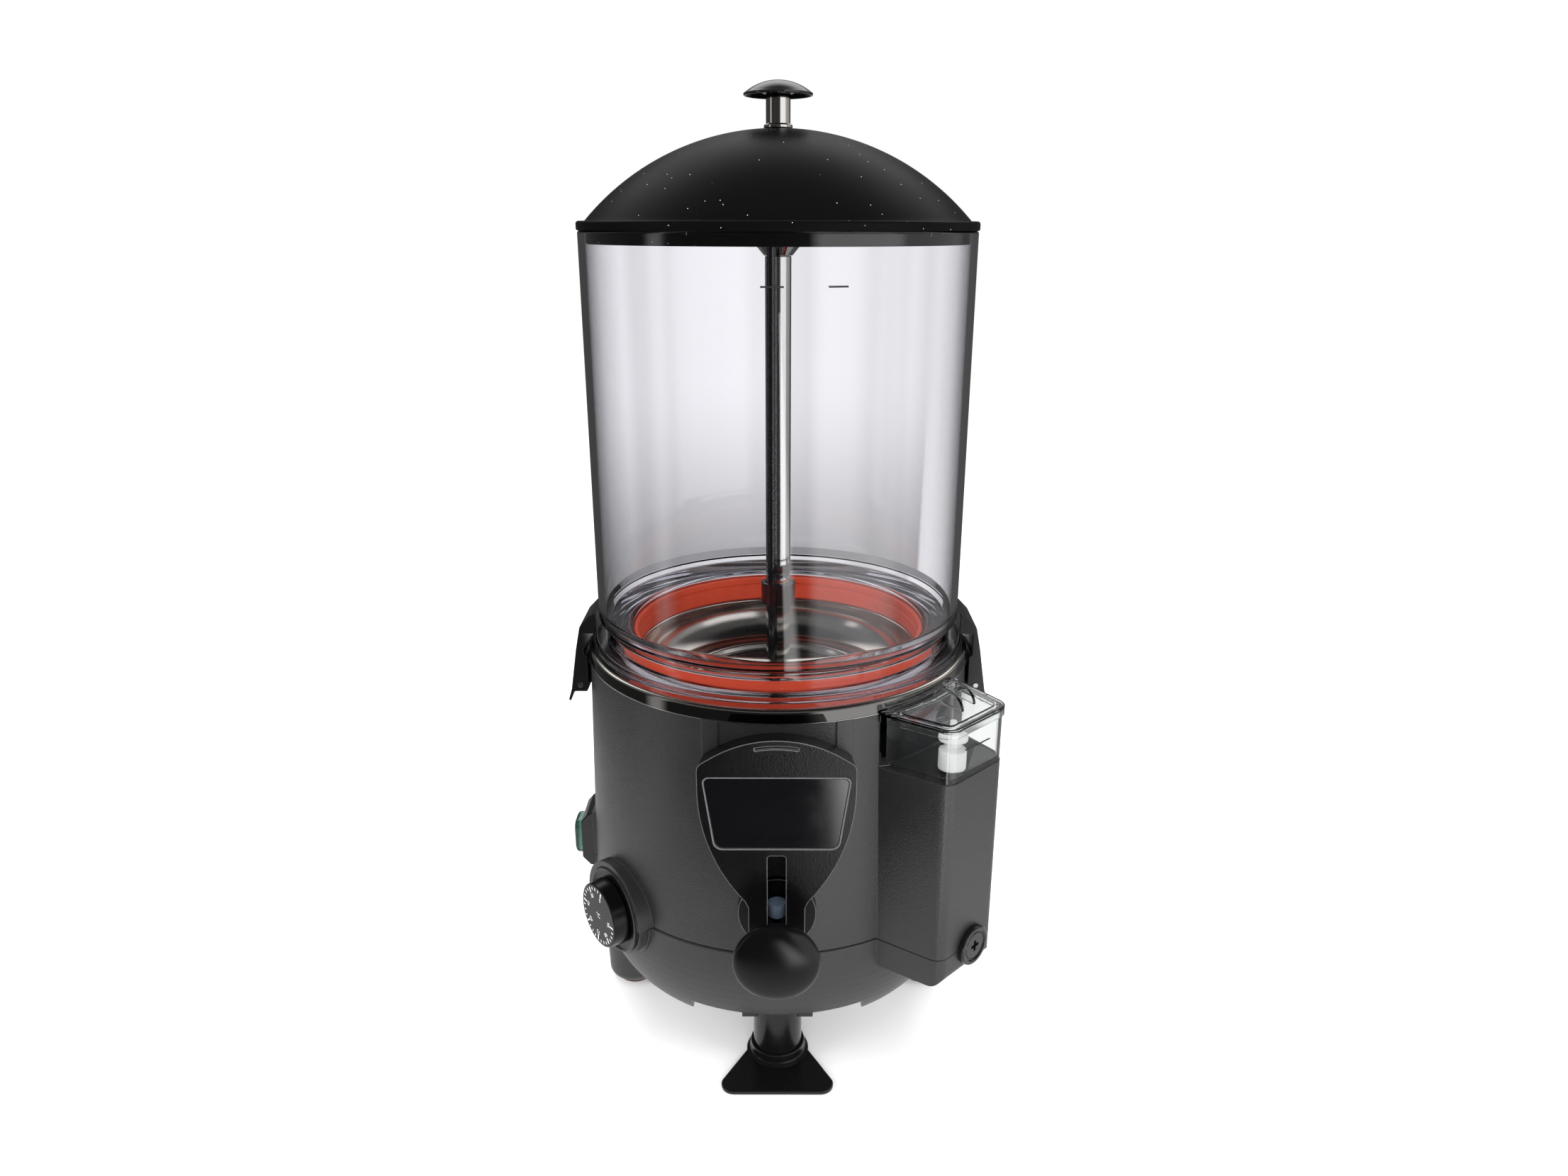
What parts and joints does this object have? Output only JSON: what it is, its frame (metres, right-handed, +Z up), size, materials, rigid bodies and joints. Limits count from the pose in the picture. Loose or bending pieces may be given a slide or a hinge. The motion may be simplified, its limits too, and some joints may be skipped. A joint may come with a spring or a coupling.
{
  "type": "hot chocolate dispenser",
  "caption": "Countertop hot drink dispenser: clear lidded bowl over a heated steel basin, with mixer, side latches, water level box, dial, rocker switch and press-down tap.",
  "frame": {"origin": "centre of the footprint on the counter", "axes": "+Z up, front with the tap towards -Y, +X to the viewer's right when looking at the front"},
  "size_m": [0.2729, 0.3116, 0.5895],
  "materials": {
    "dark_shell": "charcoal plastic with a fine leather grain",
    "lid_black": "satin black",
    "bright_black": "gloss black",
    "clear_bowl": "clear plastic, faint violet edge",
    "clear_box": "clear plastic",
    "seal_red": "red silicone",
    "steel": "brushed stainless steel",
    "bright_steel": "polished stainless steel",
    "white_plastic": "white",
    "foot_rubber": "dark reddish rubber",
    "green_clear": "translucent green",
    "collar_blue": "grey blue",
    "cast_grey": "grey casting",
    "zinc": "plain zinc finish",
    "ceramic": "off-white moulded body",
    "seal_black": "black rubber"
  },
  "bodies": {
    "base": {"bowl": "clear_bowl", "bowl_gasket": "seal_red", "basin": "steel", "column_tube": "bright_steel", "upper_bush": "white_plastic", "lower_bush": "white_plastic", "upper_shell": "dark_shell", "lower_pan": "dark_shell", "bottom_cover": "dark_shell", "cover_screws": "zinc", "front_leg": "bright_black", "foot_plate": "bright_black", "rubber_feet": "foot_rubber", "latch_pins": "bright_steel", "level_box": "clear_box", "float_post": "white_plastic", "drain_pipe": "zinc", "jacket_pipe": "zinc", "tap_body": "dark_shell", "tap_cover": "dark_shell", "cover_panel": "bright_black", "lever_pin": "bright_steel", "outlet_pipe": "steel", "dial_plate": "dark_shell", "thermostat_body": "ceramic", "switch_housing": "bright_black", "switch_cap": "clear_box", "water_jacket": "steel", "jacket_seal": "seal_red", "heating_element": "steel", "cutout_switch": "ceramic", "gear_case": "cast_grey", "gear_motor": "zinc", "motor_plate": "zinc", "motor_screws": "zinc", "cord_gland": "bright_black"},
    "lid": {"lid_dome": "lid_black", "lid_knob": "lid_black", "lid_knob_stem": "bright_steel", "lid_knob_screw": "zinc"},
    "mixer": {"mixer_head": "bright_black", "mixer_cone": "bright_steel", "mixer_rod": "bright_black", "drive_shaft": "steel", "shaft_coupling": "zinc"},
    "latch_left": {"left_latch": "bright_black"},
    "latch_right": {"right_latch": "bright_black"},
    "lever": {"tap_lever": "bright_black", "lever_knob": "dark_shell"},
    "valve": {"valve_rod": "bright_steel", "valve_collar": "collar_blue", "valve_piston": "seal_black"},
    "dial": {"dial_knob": "dark_shell", "dial_shaft": "zinc"},
    "rocker": {"switch_rocker": "green_clear"},
    "box_lid": {"level_lid": "clear_box"},
    "float": {"level_float": "white_plastic"},
    "plug": {"drain_plug": "bright_black"}
  },
  "joints": [
    {"name": "lid_lift", "type": "slide", "parent": "base", "child": "lid", "axis": [0, 0, 1], "range_m": [0, 0.12]},
    {"name": "mixer_spin", "type": "hinge", "parent": "base", "child": "mixer", "pos_m": [0, 0.02525, 0.4], "axis": [0, 0, 1], "continuous": true},
    {"name": "right_latch_swing", "type": "hinge", "parent": "base", "child": "latch_right", "pos_m": [0.1263, 0.02525, 0.2337], "axis": [0, 1, 0], "range_deg": [0, 25]},
    {"name": "left_latch_swing", "type": "hinge", "parent": "base", "child": "latch_left", "pos_m": [-0.1263, 0.02525, 0.2337], "axis": [0, -1, 0], "range_deg": [0, 25]},
    {"name": "tap_press", "type": "hinge", "parent": "base", "child": "lever", "pos_m": [0, -0.11925, 0.141], "axis": [1, 0, 0], "range_deg": [0, 30], "stiffness_Nm_per_rad": 0.25},
    {"name": "valve_lift", "type": "slide", "parent": "base", "child": "valve", "axis": [0, 0, 1], "range_m": [0, 0.0082]},
    {"name": "dial_turn", "type": "hinge", "parent": "base", "child": "dial", "pos_m": [-0.10272, -0.05443, 0.1084], "axis": [-0.7902, -0.6129, 0], "range_deg": [-270, 0]},
    {"name": "rocker_tilt", "type": "hinge", "parent": "base", "child": "rocker", "pos_m": [-0.1281, 0.02525, 0.1166], "axis": [0, -1, 0], "range_deg": [0, 14]},
    {"name": "box_lid_lift", "type": "slide", "parent": "base", "child": "box_lid", "axis": [0, 0, 1], "range_m": [0, 0.03]},
    {"name": "float_rise", "type": "slide", "parent": "base", "child": "float", "axis": [0, 0, 1], "range_m": [0, 0.004]},
    {"name": "plug_pull", "type": "slide", "parent": "base", "child": "plug", "axis": [0.7046, -0.7096, 0], "range_m": [0, 0.03]}
  ],
  "couplings": [
    {"joint": "valve_lift", "follows": "tap_press", "m_per_rad": 0.0153}
  ]
}
